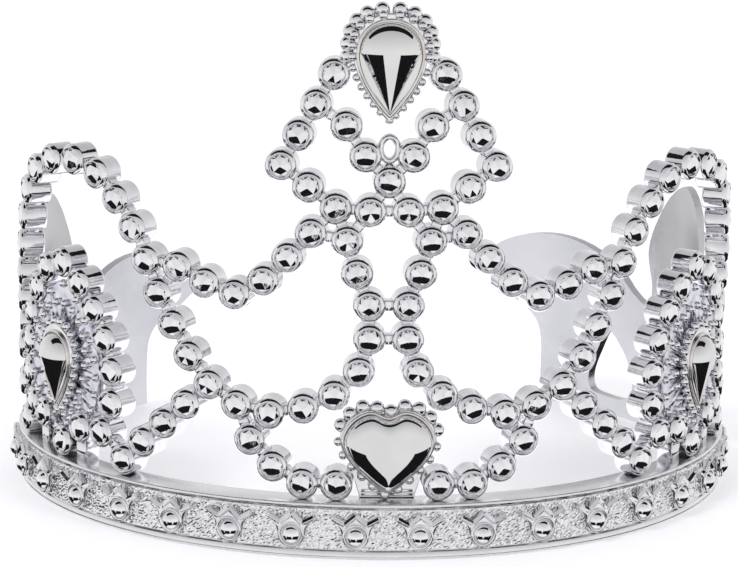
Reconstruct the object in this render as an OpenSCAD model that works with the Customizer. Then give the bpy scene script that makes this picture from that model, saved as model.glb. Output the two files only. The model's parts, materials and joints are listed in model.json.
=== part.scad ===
// Toy crown: an open ring of beaded scrollwork standing on a band, with a heart, a peak and two side gems.
// +X is to the right as seen from the front, -Y is the front, +Z is up.
// The origin is the centre of the ring on the surface that the crown stands on.

/* [Ring] */
// Half of the ring's width, measured at the faces of the beads
ring_half_width = 70; // [60:1:80]
// Half of the ring's depth at the base, measured at the faces of the beads
ring_half_depth = 59; // [52:1:70]
// How far the front wall leans inwards for each millimetre of height
lean = 0.22; // [0:0.01:0.3]
// Angle from the front at which the right end of the open ring stops
end_angle_right = 143; // [135:1:146]
// Angle from the front at which the left end of the open ring stops
end_angle_left = 135; // [130:1:146]

/* [Band] */
// Height of the band round the front and sides
band_h = 9.3; // [8:0.1:9.6]
// Height of the band at its two rear ends
band_rear_h = 3; // [2:0.1:5]
// Wall thickness of the band
band_wall = 1.8; // [1.2:0.1:3]
// Depth of the ledge along the top of the band
ledge_depth = 5; // [3:0.1:6]
// Distance between the flower studs on the band
stud_pitch = 11.4; // [10:0.1:14]
// Diameter of the ball in each flower stud
stud_ball_d = 3.7; // [2.6:0.1:4]

/* [Beads] */
// Diameter of a bead cup at its front rim
bead_front_d = 5.2; // [4.4:0.1:5.6]
// Diameter of a bead cup at its back
bead_back_d = 5.9; // [5:0.1:6]
// Length of a bead cup, front to back
bead_len = 4.8; // [3:0.1:6]
// Width of the links between neighbouring beads
link_w = 2; // [1:0.1:3]

/* [Gems] */
// Width of the heart
heart_w = 16.2; // [12:0.1:17]
// Width of the peak gem
peak_gem_w = 12.2; // [9:0.1:13]
// Height of the peak gem
peak_gem_h = 17.4; // [13:0.1:18]
// Width of each side gem
side_gem_w = 9; // [7:0.1:11]
// Height of each side gem
side_gem_h = 14; // [11:0.1:16]

/* [Rear leaves] */
// Thickness of the two plain leaves at the rear ends
leaf_t = 2; // [1.4:0.1:3]
// Height of the left leaf as a fraction of the right one
leaf_rise_left = 0.9; // [0.8:0.01:1]

/* [Hidden] */

METAL = "silver";
STONE = "gainsboro";
GEM = "whitesmoke";

bead_r = bead_back_d / 2;
// Recess in a cup's face, and the stone that sits in it
recess_r = bead_front_d / 2 - 0.45;
recess_h = 0.8;
stone_r = recess_r - 0.1;
stone_h = 0.85;
// Depth of a link, and how far its middle lies behind the faces
link_depth = 2.6;
link_in = 2.4;

// The scrollwork's lines, each as [angle from the front, height] points on the right-hand side.
// The left-hand side mirrors them.
PEAK_EDGE = [[8.3, 83.6], [16.2, 67.5], [7.9, 60.3], [2.8, 59.8]];
PEAK_V = [[-6.4, 74.6], [-3.6, 69.4], [0, 65], [3.6, 69.4], [6.4, 74.6]];
COLUMN = [[6.2, 54.6], [4.7, 48.9], [2.85, 43.2], [2.85, 37.5], [4.3, 32], [8, 27.8]];
LOWER_ARC = [[12.6, 25.3], [17.6, 24.1], [22.8, 25.1], [27.5, 28.2]];
GARLAND = [[20.8, 19.2], [17.3, 15], [12.7, 12.3], [7.6, 12.3]];
SWAG = [[11.6, 55.8], [18.5, 47.5], [23, 44.5], [28, 46], [33, 48.5]];
ARCH = [[31, 32.9], [36.6, 43.2], [41.6, 54.3], [49.6, 63.2], [58.6, 65.2], [69.4, 62],
    [76.6, 55.6], [82, 46], [87.6, 35], [92, 28.2]];
// The side scroll is given by its offsets from the side gem's angle
SIDE_ANGLE = 60.5;
SCROLL = [[-6.4, 15.9], [-12.2, 16.5], [-14.4, 25], [-12.4, 33.8], [-9.2, 39.2], [-5.2, 43.4], [0, 46],
    [5.2, 43.4], [9.2, 39.2], [12.4, 33.8], [14.4, 25], [12.2, 16.5], [6.4, 15.9]];
// Beads round the scroll's loop; one more, the foot, stands on the ledge below them
scroll_count = 15;
SCROLL_FOOT = [-1, 12.3];
FRONT_BRACE = [[31.5, 24.2], [43.6, 12.3]];
REAR_BRACE = [[88, 24.2], [77, 12.3]];

// The rear leaf: its edge from the foot near the side arch, over both lobes, to the foot of the end stem
LEAF_EDGE = [[97, 0], [96, 12], [94.6, 26], [96.5, 38], [100.5, 49], [106.5, 54], [112.6, 51],
    [117, 44], [118.4, 38], [116.6, 31], [117.6, 26.6], [122, 28.4], [127, 33], [132.5, 36.3],
    [138.5, 38.3], [144.4, 38.7], [150, 37.4], [154.4, 34.2], [155, 29.5], [151.6, 24.8],
    [146.4, 21], [143.7, 16.5], [143, 8], [143, 0]];
LEAF_HOLE_REAR = [[128, 19], [130.4, 14], [132, 8.6], [131.4, 4.8], [127.8, 3.9], [123, 4],
    [120.6, 6], [121.4, 11], [124, 15.4]];
LEAF_HOLE_SIDE = [[104.5, 39], [107.4, 35], [107.8, 29], [106, 24], [103, 23], [101.2, 28], [101.6, 35]];
LEAF_MID_ANGLE = 125;

// Ring geometry: the point at an angle and height, moved in from the faces of the beads by depth
function depth_at(z) = ring_half_depth - lean * z;
function heading(t, z) = atan2(depth_at(z) * sin(t), ring_half_width * cos(t));
function ring_point(t, z, depth = 0) =
    let (h = heading(t, z))
    [ring_half_width * sin(t) - depth * sin(h), -depth_at(z) * cos(t) + depth * cos(h), z];

// A smooth line through points: Catmull-Rom, in steps parts to a span
function spline_at(p, i, f) =
    let (n = len(p), a = p[max(i - 1, 0)], b = p[i], c = p[min(i + 1, n - 1)], d = p[min(i + 2, n - 1)])
    0.5 * (2 * b + (c - a) * f + (2 * a - 5 * b + 4 * c - d) * f * f + (3 * b - a - 3 * c + d) * f * f * f);
function smooth(p, steps = 8) =
    concat([for (i = [0:len(p) - 2]) for (k = [0:steps - 1]) spline_at(p, i, k / steps)], [p[len(p) - 1]]);
function smooth_loop(p, steps = 6) =
    let (n = len(p), q = concat([p[n - 1]], p, [p[0], p[1]]))
    [for (i = [1:n]) for (k = [0:steps - 1]) spline_at(q, i, k / steps)];

// Beads evenly spaced along a line of [angle, height] points
function step_len(a, b) = norm(ring_point(a[0], a[1]) - ring_point(b[0], b[1]));
function run_lengths(p, i = 0, sum = 0) =
    i >= len(p) - 1 ? [sum] : concat([sum], run_lengths(p, i + 1, sum + step_len(p[i], p[i + 1])));
function even(line, count) =
    let (s = run_lengths(line), total = s[len(s) - 1],
        ts = [for (i = [0:len(line) - 1]) [s[i], line[i][0]]],
        zs = [for (i = [0:len(line) - 1]) [s[i], line[i][1]]])
    [for (k = [0:count - 1]) [lookup(total * k / (count - 1), ts), lookup(total * k / (count - 1), zs)]];
function mirrored(p) = [for (q = p) [-q[0], q[1]]];
function moved(p, t) = [for (q = p) [q[0] + t, q[1]]];

// Angle reached after a length round the base of the ring
BASE_RUN = run_lengths([for (t = [0:1:120]) [t, 0]]);
function angle_after(length) = lookup(length, [for (t = [0:1:120]) [BASE_RUN[t], t]]);

// Every bead's place
peak_edge = even(PEAK_EDGE, 7);
peak_v = even(smooth(PEAK_V), 5);
column = even(smooth(COLUMN), 6);
lower_arc = even(smooth(LOWER_ARC), 4);
garland = even(smooth(GARLAND), 4);
swag = even(smooth(SWAG), 6);
arch = even(smooth(ARCH), 16);
scroll_loop = even(moved(smooth(SCROLL), SIDE_ANGLE), scroll_count);
scroll = concat(scroll_loop, moved([SCROLL_FOOT], SIDE_ANGLE));
front_brace = even(FRONT_BRACE, 4);
rear_brace = even(REAR_BRACE, 3);

// Places a child, drawn with its face towards +Z, on the ring with that face outwards
module on_ring(p, depth = 0) {
    translate(ring_point(p[0], p[1], depth))
        rotate([0, 0, heading(p[0], p[1])])
            rotate([90, 0, 0])
                children();
}

module cup() {
    rotate_extrude($fn = 40)
        polygon([[0, -bead_len], [bead_r - 0.5, -bead_len], [bead_r, -bead_len + 0.6],
            [bead_front_d / 2, -0.3], [bead_front_d / 2 - 0.15, 0], [recess_r + 0.1, 0],
            [recess_r, -recess_h], [0, -recess_h]]);
}

module stone() {
    translate([0, 0, -recess_h])
        rotate_extrude($fn = 32)
            polygon([[0, 0], [stone_r, 0], [stone_r * 0.62, stone_h * 0.7], [stone_r * 0.3, stone_h], [0, stone_h]]);
}

// A bar between two places; each end stops short of its centre by the given gap
module link(a, b, gap_a = bead_r - 0.9, gap_b = bead_r - 0.9) {
    pa = ring_point(a[0], a[1], link_in);
    pb = ring_point(b[0], b[1], link_in);
    d = pb - pa;
    run = norm([d[0], d[1]]);
    dist = norm(d);
    translate(pa)
        rotate([0, 0, atan2(d[1], d[0])])
            rotate([0, -atan2(d[2], run), 0])
                translate([gap_a, -link_depth / 2, -link_w / 2])
                    cube([dist - gap_a - gap_b, link_depth, link_w]);
}

// A tie starts inside this line's own bead and only touches its neighbour's
module tie(own, other) {
    link(own, other, bead_r - 0.9, bead_r - 0.05);
}

module cups(p) {
    for (q = p) on_ring(q) cup();
}

module chain(p) {
    cups(p);
    for (i = [0:len(p) - 2]) link(p[i], p[i + 1]);
}

module stones(p) {
    color(STONE) for (q = p) on_ring(q) stone();
}

module both_stones(p) {
    stones(p);
    stones(mirrored(p));
}

// The band: an outer wall with a raised lip at the foot, a raised line and a ledge at the top
function band_scale(t) =
    let (f = min(1, max(0, (abs(t) - 90) / 30))) 1 - (1 - band_rear_h / band_h) * f * f * (3 - 2 * f);
function ledge_share(t) = max(0, min(1, (94 - abs(t)) / 8));
function band_section(t) =
    let (s = band_scale(t), h = band_h * s, lip = 1, wall = band_wall,
        ledge = band_wall + 0.01 + (ledge_depth - band_wall) * ledge_share(t))
    [[0, -0.35], [lip * s, -0.35], [(lip + 0.35) * s, 0], [h - 1.1 * s, 0], [h - 0.8 * s, -0.35], [h, -0.35],
        [h, ledge], [h - 1.5 * s, ledge], [h - 1.5 * s, wall], [0, wall]];
module band() {
    count = 96;
    angles = [for (i = [0:count]) -end_angle_left + (end_angle_left + end_angle_right) * i / count];
    sides = 10;
    points = [for (t = angles) for (s = band_section(t)) ring_point(t, s[0], s[1])];
    walls = [for (i = [0:count - 1]) for (k = [0:sides - 1])
        let (a = i * sides + k, b = i * sides + (k + 1) % sides)
        each [[a, b, a + sides], [b, b + sides, a + sides]]];
    start = [[for (k = [0:sides - 1]) sides - 1 - k]];
    end = [[for (k = [0:sides - 1]) count * sides + k]];
    color(METAL) polyhedron(points, concat(walls, start, end), convexity = 6);
}

// Flower studs: a three-pointed tulip over a ball, evenly spaced round the band
stud_count = 9;
stud_places = [for (i = [0:stud_count - 1]) angle_after((i + 0.5) * stud_pitch)];
stud_ball_z = 3.85;
tulip_r = 2.45;
module tulip() {
    translate([0, 0, -0.4])
        linear_extrude(height = 1.2) {
            circle(r = tulip_r, $fn = 32);
            polygon([[-tulip_r, 0], [-2.6, 1.2], [-3.7, 3.1], [-1.9, 2.2], [0, 3.6], [1.9, 2.2], [3.7, 3.1],
                [2.6, 1.2], [tulip_r, 0]]);
        }
}
module flower_studs() {
    color(METAL) for (side = [-1, 1]) for (t = stud_places)
        difference() {
            on_ring([side * t, stud_ball_z]) tulip();
            on_ring([side * t, stud_ball_z]) ball_socket();
        }
}
module ball_socket() {
    translate([0, 0, -1]) cylinder(h = 4, d = stud_ball_d + 0.1, $fn = 32);
}
module ball_studs() {
    color(METAL) for (side = [-1, 1]) for (t = stud_places)
        on_ring([side * t, stud_ball_z]) translate([0, 0, -0.35]) ball_stud();
}
module ball_stud() {
    rotate_extrude($fn = 32)
        intersection() {
            translate([0, 0.5]) circle(d = stud_ball_d, $fn = 32);
            translate([0, 0]) square([stud_ball_d, stud_ball_d]);
        }
}

// Rear leaf: a curved sheet cut to the leaf's edge and its two holes
leaf_depth = band_wall + 0.02;
function leaf_bend(t, turn) = t - turn * max(0, min(1, (t - 96) / (143 - 96)));
function leaf_rise(t, z, rise) = z * (1 - (1 - rise) * max(0, min(1, (t - 96) / 30)));
function leaf_plan(p, turn, rise) =
    let (h = heading(LEAF_MID_ANGLE, 0))
    [for (q = p)
        let (t = leaf_bend(q[0], turn), z = leaf_rise(q[0], q[1], rise), r = ring_point(t, z, leaf_depth))
        [r[0] * cos(h) + r[1] * sin(h), z]];
module leaf_sheet() {
    count = 28;
    top = 60;
    first = 91;
    last = 158;
    points = [for (i = [0:count])
        let (t = first + (last - first) * i / count)
        each [ring_point(t, 0, leaf_depth), ring_point(t, 0, leaf_depth + leaf_t),
            ring_point(t, top, leaf_depth + leaf_t), ring_point(t, top, leaf_depth)]];
    walls = [for (i = [0:count - 1]) for (k = [0:3])
        let (a = i * 4 + k, b = i * 4 + (k + 1) % 4)
        each [[a, a + 4, b], [b, a + 4, b + 4]]];
    polyhedron(points, concat(walls, [[0, 1, 2, 3], [count * 4 + 3, count * 4 + 2, count * 4 + 1, count * 4]]));
}
module rear_leaf(turn, rise) {
    h = heading(LEAF_MID_ANGLE, 0);
    color(METAL) intersection() {
        leaf_sheet();
        rotate([0, 0, h])
            rotate([90, 0, 0])
                linear_extrude(height = ring_half_width * 1.2)
                    difference() {
                        polygon(leaf_plan(smooth(LEAF_EDGE, 4), turn, rise));
                        polygon(leaf_plan(smooth_loop(LEAF_HOLE_REAR, 4), turn, rise));
                        polygon(leaf_plan(smooth_loop(LEAF_HOLE_SIDE, 4), turn, rise));
                    }
    }
}
module rear_leaf_right() { rear_leaf(0, 1); }
module rear_leaf_left() {
    mirror([1, 0, 0]) rear_leaf(end_angle_right - end_angle_left, leaf_rise_left);
}

// Peak: the beaded frame, the V inside it and the keyhole under the gem
module peak_frame() {
    color(METAL) {
        chain(peak_edge);
        chain(mirrored(peak_edge));
        link(peak_edge[6], mirrored(peak_edge)[6]);
    }
}
module peak_inner_v() {
    color(METAL) {
        chain(peak_v);
        for (side = [-1, 1]) {
            own = peak_v[side > 0 ? 4 : 0];
            tie(own, [side * peak_edge[1][0], peak_edge[1][1]]);
            tie(peak_v[2], [side * peak_edge[6][0], peak_edge[6][1]]);
        }
    }
}
keyhole_z = 70.6;
module peak_keyhole() {
    color(METAL) on_ring([0, keyhole_z], link_in)
        difference() {
            cylinder(h = 2.4, d = 4.6, center = true, $fn = 32);
            cylinder(h = 3, d = 2.4, center = true, $fn = 24);
        }
}

// Gems: an outline, and a domed body on it
HEART_HALF = [[2.9, 6.2], [5.3, 5.5], [7.2, 3.7], [8.1, 1.4], [7.6, -0.9], [6.2, -3.1], [4, -5.4], [1.6, -7.5]];
function heart_line(w) =
    let (s = w / 16.2, n = len(HEART_HALF),
        line = concat([[0, 5.2]], HEART_HALF, [[0, -8.3]], [for (i = [n - 1:-1:0]) [-HEART_HALF[i][0], HEART_HALF[i][1]]]))
    [for (p = smooth_loop(line, 3)) p * s];
function drop_line(w, h) =
    [for (i = [0:35]) let (a = i * 10, f = cos(a / 2))
        [w * 0.62 * sin(a) * pow(abs(f), 0.9), h * 0.5 * cos(a)]];
module domed(line, h, rings = 5) {
    n = len(line);
    points = concat(
        [for (k = [0:rings - 1]) let (f = 90 * k / rings) for (p = line) [p[0] * cos(f), p[1] * cos(f), h * sin(f)]],
        [[0, 0, h]]);
    base = [[for (i = [n - 1:-1:0]) i]];
    walls = [for (k = [0:rings - 2]) for (i = [0:n - 1])
        let (a = k * n + i, b = k * n + (i + 1) % n) each [[a, b, a + n], [b, b + n, a + n]]];
    cap = [for (i = [0:n - 1]) [(rings - 1) * n + i, (rings - 1) * n + (i + 1) % n, rings * n]];
    polyhedron(points, concat(base, walls, cap));
}
module backing(line, grow, depth) {
    translate([0, 0, -depth])
        linear_extrude(height = depth)
            polygon([for (p = line) p * grow]);
}
module ball_row(line, grow, d, indexes) {
    for (i = indexes)
        translate([line[i][0] * grow, line[i][1] * grow, -d * 0.45]) sphere(d = d, $fn = 20);
}

peak_gem_place = [0, 84.8];
peak_line = drop_line(peak_gem_w, peak_gem_h);
module peak_setting() {
    color(METAL) on_ring(peak_gem_place) {
        backing(peak_line, 1.12, 3.6);
        ball_row(peak_line, 1.22, 2.8, [0, 3, 6, 9, 27, 30, 33]);
        ball_row(peak_line, 1.17, 1.6, [12, 14, 16, 20, 22, 24]);
    }
}
module peak_gem() {
    color(GEM) on_ring(peak_gem_place) domed(peak_line, 3);
}

heart_place = [0, 19.3];
heart_outline = heart_line(heart_w);
// Height of the ledge below the middle of the heart
heart_drop = heart_place[1] - band_h;
module heart_setting() {
    color(METAL) on_ring(heart_place) {
        backing(heart_outline, 1.07, 3.4);
        ball_row(heart_outline, 1.13, 1.8, [5, 9, 13, 17, 21, 33, 37, 41, 45, 49]);
        translate([0, 6.2, -1.4]) sphere(d = 2.7, $fn = 24);
        translate([0, 0, -3.2]) linear_extrude(height = 1.4)
            polygon([[-4.7, -heart_drop], [4.7, -heart_drop], [6.4, -3.4], [-6.4, -3.4]]);
    }
}
module heart_gem() {
    color(GEM) on_ring(heart_place) domed(heart_outline, 3.4);
}

side_gem_z = 26;
side_line = drop_line(side_gem_w, side_gem_h);
// The fan behind a side gem keeps the scroll's shape at a smaller size
fan_size = 0.8;
fan_mid_z = 29;
fan_line = [for (p = smooth_loop(concat(SCROLL, [SCROLL_FOOT]), 3))
    [p[0] * fan_size, (p[1] - fan_mid_z) * fan_size + fan_mid_z - side_gem_z]];
module fan() {
    translate([0, 0, -3.4]) linear_extrude(height = 1.4) polygon(fan_line);
    for (a = [0:20:340])
        rotate([0, 0, a]) translate([side_gem_w * 0.4, -0.5, -2.6]) cube([5.2, 1, 1.6]);
}
module side_setting(side) {
    color(METAL) on_ring([side * SIDE_ANGLE, side_gem_z]) {
        fan();
        backing(side_line, 1.2, 3);
        ball_row(side_line, 1.3, 1.6, [0:3:33]);
    }
}
module side_gem(side) {
    color(GEM) on_ring([side * SIDE_ANGLE, side_gem_z]) domed(side_line, 2.6);
}
module side_setting_right() { side_setting(1); }
module side_setting_left() { side_setting(-1); }
module side_gem_right() { side_gem(1); }
module side_gem_left() { side_gem(-1); }

// Scrollwork, right and left
module column_at(p, edge) {
    color(METAL) {
        chain(p);
        tie(p[0], edge[5]);
    }
}
module column_right() {
    column_at(column, peak_edge);
    color(METAL) for (i = [2, 3]) link(column[i], mirrored(column)[i], bead_r - 0.9, bead_r - 0.05);
}
module column_left() { column_at(mirrored(column), mirrored(peak_edge)); }
module lower_arc_at(p, col) {
    color(METAL) {
        chain(p);
        tie(p[0], col[5]);
    }
}
module lower_arc_right() { lower_arc_at(lower_arc, column); }
module lower_arc_left() { lower_arc_at(mirrored(lower_arc), mirrored(column)); }
module garland_at(p, arc) {
    color(METAL) {
        chain(p);
        tie(p[0], arc[2]);
    }
}
module garland_right() { garland_at(garland, lower_arc); }
module garland_left() { garland_at(mirrored(garland), mirrored(lower_arc)); }
module swag_at(p, edge, over) {
    color(METAL) {
        chain(p);
        tie(p[0], edge[5]);
        tie(p[5], over);
    }
}
module swag_right() { swag_at(swag, peak_edge, arch[3]); }
module swag_left() { swag_at(mirrored(swag), mirrored(peak_edge), mirrored(arch)[3]); }
module arch_at(p, arc) {
    color(METAL) {
        chain(p);
        tie(p[0], arc[3]);
    }
}
module side_arch_right() { arch_at(arch, lower_arc); }
module side_arch_left() { arch_at(mirrored(arch), mirrored(lower_arc)); }
module scroll_at(p) {
    color(METAL) {
        chain([for (i = [0:scroll_count - 1]) p[i]]);
        cups([p[scroll_count]]);
        for (i = [0, scroll_count - 1]) {
            link(p[i], p[scroll_count]);
            post(p[i]);
        }
    }
}
// A post from the underside of a bead down to the ledge
module post(q) {
    foot = band_h + 0.01;
    translate([0, 0, foot - q[1]])
        on_ring(q)
            translate([-1.4, 0, -ledge_depth + 0.6])
                cube([2.8, q[1] - foot - bead_r + 0.8, ledge_depth - 1.4]);
}
module side_scroll_right() { scroll_at(scroll); }
module side_scroll_left() { scroll_at(mirrored(scroll)); }
module brace_at(p, from) {
    color(METAL) {
        chain(p);
        tie(p[0], from);
    }
}
module front_brace_right() { brace_at(front_brace, lower_arc[3]); }
module front_brace_left() { brace_at(mirrored(front_brace), mirrored(lower_arc)[3]); }
module rear_brace_right() { brace_at(rear_brace, arch[15]); }
module rear_brace_left() { brace_at(mirrored(rear_brace), mirrored(arch)[15]); }

// Stones, one in each cup
module peak_stones() {
    both_stones(peak_edge);
    stones(peak_v);
}
module column_stones() { both_stones(column); }
module arc_stones() { both_stones(lower_arc); }
module garland_stones() { both_stones(garland); }
module swag_stones() { both_stones(swag); }
module arch_stones() { both_stones(arch); }
module scroll_stones() { both_stones(scroll); }
module brace_stones() {
    both_stones(front_brace);
    both_stones(rear_brace);
}

band();
flower_studs();
ball_studs();
rear_leaf_right();
rear_leaf_left();
peak_frame();
peak_inner_v();
peak_keyhole();
peak_setting();
peak_gem();
column_right();
column_left();
lower_arc_right();
lower_arc_left();
garland_right();
garland_left();
swag_right();
swag_left();
heart_setting();
heart_gem();
side_arch_right();
side_arch_left();
side_scroll_right();
side_scroll_left();
front_brace_right();
front_brace_left();
rear_brace_right();
rear_brace_left();
side_setting_right();
side_setting_left();
side_gem_right();
side_gem_left();
peak_stones();
column_stones();
arc_stones();
garland_stones();
swag_stones();
arch_stones();
scroll_stones();
brace_stones();
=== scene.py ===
"""The looks of the beaded toy crown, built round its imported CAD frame.

The crown's lengths are in millimetres until Piece.made(). The stage, lights and camera are in metres.
"""

import json
import math

import bmesh
import bpy
import numpy as np
from mathutils import Matrix, Vector

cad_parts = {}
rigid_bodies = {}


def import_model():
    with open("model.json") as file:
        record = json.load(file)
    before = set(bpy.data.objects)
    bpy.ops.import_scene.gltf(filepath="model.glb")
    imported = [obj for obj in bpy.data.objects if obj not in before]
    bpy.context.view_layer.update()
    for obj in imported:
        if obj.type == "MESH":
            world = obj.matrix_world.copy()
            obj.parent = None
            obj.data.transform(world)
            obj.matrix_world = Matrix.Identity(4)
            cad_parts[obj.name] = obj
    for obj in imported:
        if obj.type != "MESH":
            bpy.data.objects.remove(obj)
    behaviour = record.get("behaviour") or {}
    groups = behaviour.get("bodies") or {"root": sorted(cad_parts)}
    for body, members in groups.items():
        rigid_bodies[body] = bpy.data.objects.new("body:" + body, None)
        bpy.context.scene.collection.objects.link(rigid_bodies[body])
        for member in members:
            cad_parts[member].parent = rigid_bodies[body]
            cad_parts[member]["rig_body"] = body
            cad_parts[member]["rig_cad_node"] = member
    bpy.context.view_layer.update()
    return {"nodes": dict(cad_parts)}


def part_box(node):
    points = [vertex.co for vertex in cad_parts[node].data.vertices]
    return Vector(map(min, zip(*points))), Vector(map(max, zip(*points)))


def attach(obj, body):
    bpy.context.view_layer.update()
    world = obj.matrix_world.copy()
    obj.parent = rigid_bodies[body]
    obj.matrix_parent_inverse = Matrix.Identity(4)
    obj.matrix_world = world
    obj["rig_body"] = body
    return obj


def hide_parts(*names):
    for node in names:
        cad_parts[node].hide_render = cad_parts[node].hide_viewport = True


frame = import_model()
MM = 0.001
rng = np.random.default_rng(7)

SIDES = ("right", "left")

# ---------------------------------------------------------------- the ring, as part.scad defines it
LIP = 0.35  # how far the band's lips stand out from its face
HALF_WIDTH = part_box("band")[1].x / MM - LIP
HALF_DEPTH = -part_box("band")[0].y / MM - LIP
BAND_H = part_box("band")[1].z / MM
LEAN = 0.22  # how far the front and the rear lean in for each millimetre of height
BAND_REAR_H = 3.0  # the band's height at its rear ends
BAND_WALL = 1.8
LEDGE = 5.0  # how far in the ledge at the band's top reaches
LEDGE_T = 1.5
END_LEFT = 135  # where the ring ends, in degrees from the front
END_RIGHT = 143
STUD_PITCH = 11.4
STUDS_A_SIDE = 9
STUD_Z = 3.85

# Bead cups: heights in a cup are measured from its face, and its back is at -CUP_LEN
CUP_R = 2.95
CUP_LEN = 4.8
SEAT_R = 2.16  # the hollow that holds the stone
SEAT_IN = 0.8
LINK_IN = 2.4  # how far behind the faces the links run


def depth_at(z):
    """Half of the ring's depth at a height."""
    return HALF_DEPTH - LEAN * z


def heading(t, z):
    """Direction that the ring's face looks in at an angle from the front, in radians."""
    a = math.radians(t)
    return math.atan2(depth_at(z) * math.sin(a), HALF_WIDTH * math.cos(a))


def ring_point(t, z, depth=0.0):
    """The point at an angle from the front, in degrees, at a height and a depth behind the ring's face."""
    a, h = math.radians(t), heading(t, z)
    x = HALF_WIDTH * math.sin(a) - depth * math.sin(h)
    return Vector((x, -depth_at(z) * math.cos(a) + depth * math.cos(h), z))


def facing(at, outward):
    """A placement whose +Z is the outward direction and whose +Y is up."""
    z = Vector(outward).normalized()
    x = Vector((0, 0, 1)).cross(z).normalized()
    rot = Matrix((x, z.cross(x), z)).transposed().to_4x4()
    return Matrix.Translation(at) @ rot


def on_ring(t, z):
    """A placement on the ring's face that looks outwards."""
    h = heading(t, z)
    return facing(ring_point(t, z), (math.sin(h), -math.cos(h), 0))


# ---------------------------------------------------------------- mesh helpers
WELD_GAP = 2e-6  # corners nearer than this become one, in metres


class Piece:
    """Corners and faces of one piece, in millimetres."""

    def __init__(self):
        self.points, self.faces, self.smooth, self.slots = [], [], [], []

    def add(self, points, faces, place=None, smooth=True, slot=0):
        """Adds a solid. A face with more than four corners is a flat end, and is never shaded smooth."""
        base = len(self.points)
        place = place or Matrix.Identity(4)
        self.points += [tuple(place @ Vector(p)) for p in points]
        self.faces += [tuple(base + i for i in f) for f in faces]
        self.smooth += [smooth and len(f) <= 4 for f in faces]
        self.slots += [slot] * len(faces)

    def made(self, name, nodes, slot, materials, weld=False):
        """Makes the object, which rides on the crown's one body, and hides the named CAD nodes that it takes
        the place of.
        """
        mesh = bpy.data.meshes.new(name)
        mesh.from_pydata([tuple(c * MM for c in p) for p in self.points], [], self.faces)
        mesh.polygons.foreach_set("use_smooth", self.smooth)
        mesh.polygons.foreach_set("material_index", self.slots)
        for m in materials:
            mesh.materials.append(m)
        if weld:
            welded(mesh)
        mesh.update()
        obj = bpy.data.objects.new(name, mesh)
        bpy.context.scene.collection.objects.link(obj)
        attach(obj, "root")
        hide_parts(*nodes)


def welded(mesh):
    """Joins patches that share an edge into one shell. Normals face outwards, and flat facets stay crisp."""
    shell = bmesh.new()
    shell.from_mesh(mesh)
    bmesh.ops.remove_doubles(shell, verts=shell.verts, dist=WELD_GAP)
    bmesh.ops.recalc_face_normals(shell, faces=shell.faces)
    for edge in shell.edges:
        edge.smooth = all(f.smooth for f in edge.link_faces)
    shell.to_mesh(mesh)
    shell.free()


def arc(cx, cy, r, start, end, steps):
    """Points on an arc, in degrees."""
    angles = [math.radians(start + (end - start) * k / steps) for k in range(steps + 1)]
    return [(cx + r * math.cos(a), cy + r * math.sin(a)) for a in angles]


def oval(half_width, half_height, steps):
    """Points round an oval, anticlockwise."""
    angles = [k / steps * math.tau for k in range(steps)]
    return [(half_width * math.cos(a), half_height * math.sin(a)) for a in angles]


def lathe(profile, sides):
    """A closed turned solid from (radius, height) points that start and end on the axis."""
    points, rows = [], []
    for r, z in profile:
        if r == 0:
            rows.append([len(points)])
            points.append((0, 0, z))
        else:
            rows.append([len(points) + k for k in range(sides)])
            points += [
                (r * math.cos(2 * math.pi * k / sides), r * math.sin(2 * math.pi * k / sides), z)
                for k in range(sides)
            ]
    faces = []
    for low, high in zip(rows, rows[1:]):
        for k in range(sides):
            n = (k + 1) % sides
            if len(low) == 1:
                faces.append((low[0], high[n], high[k]))
            elif len(high) == 1:
                faces.append((low[k], low[n], high[0]))
            else:
                faces.append((low[k], low[n], high[n], high[k]))
    return points, faces


def ball(d, rings=10, sides=18):
    """A round ball of a diameter."""
    profile = [(0, -d / 2)] + arc(0, 0, d / 2, -90, 90, rings)[1:-1] + [(0, d / 2)]
    return lathe(profile, sides)


def rounded_bar(length, width, depth, edge):
    """A bar along X whose four long edges are rounded."""
    half_w, half_d = width / 2 - edge, depth / 2 - edge
    section = []
    for quarter, (sx, sy) in enumerate(((1, 1), (-1, 1), (-1, -1), (1, -1))):
        section += arc(sx * half_w, sy * half_d, edge, 90 * quarter, 90 * quarter + 90, 3)
    n = len(section)
    points = [(x, y, z) for x in (0, length) for y, z in section]
    faces = [(k, (k + 1) % n, n + (k + 1) % n, n + k) for k in range(n)]
    faces += [tuple(reversed(range(n))), tuple(range(n, 2 * n))]
    return points, faces


BACK_RIM = (0.8, 0)  # turns round a plate's back rim, in radians
FRONT_RIM = (0, 0.5, 1.1)  # the same round its front rim
FLAT_FROM = 1.4  # the flat front begins this many rim radii in


def plate(outline, back, front, edge):
    """A plate between two heights with rounded rims, from an outline that runs anticlockwise."""
    line = np.array(outline, float)
    n = len(line)
    along = np.roll(line, -1, 0) - np.roll(line, 1, 0)
    inward = np.stack([-along[:, 1], along[:, 0]], 1)
    inward /= np.linalg.norm(inward, axis=1)[:, None]
    rows = [(edge, back)]
    rows += [(edge * (1 - math.cos(a)), back + edge - edge * math.sin(a)) for a in BACK_RIM]
    rows += [(edge * (1 - math.cos(a)), front - edge + edge * math.sin(a)) for a in FRONT_RIM]
    rows += [(edge, front), (edge * FLAT_FROM, front)]
    points = [(*p, z) for inset, z in rows for p in (line + inward * inset)]
    faces = [
        (j * n + k, j * n + (k + 1) % n, (j + 1) * n + (k + 1) % n, (j + 1) * n + k)
        for j in range(len(rows) - 1)
        for k in range(n)
    ]
    faces.append(tuple(reversed(range(n))))
    faces.append(tuple((len(rows) - 1) * n + k for k in range(n)))
    return points, faces


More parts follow.
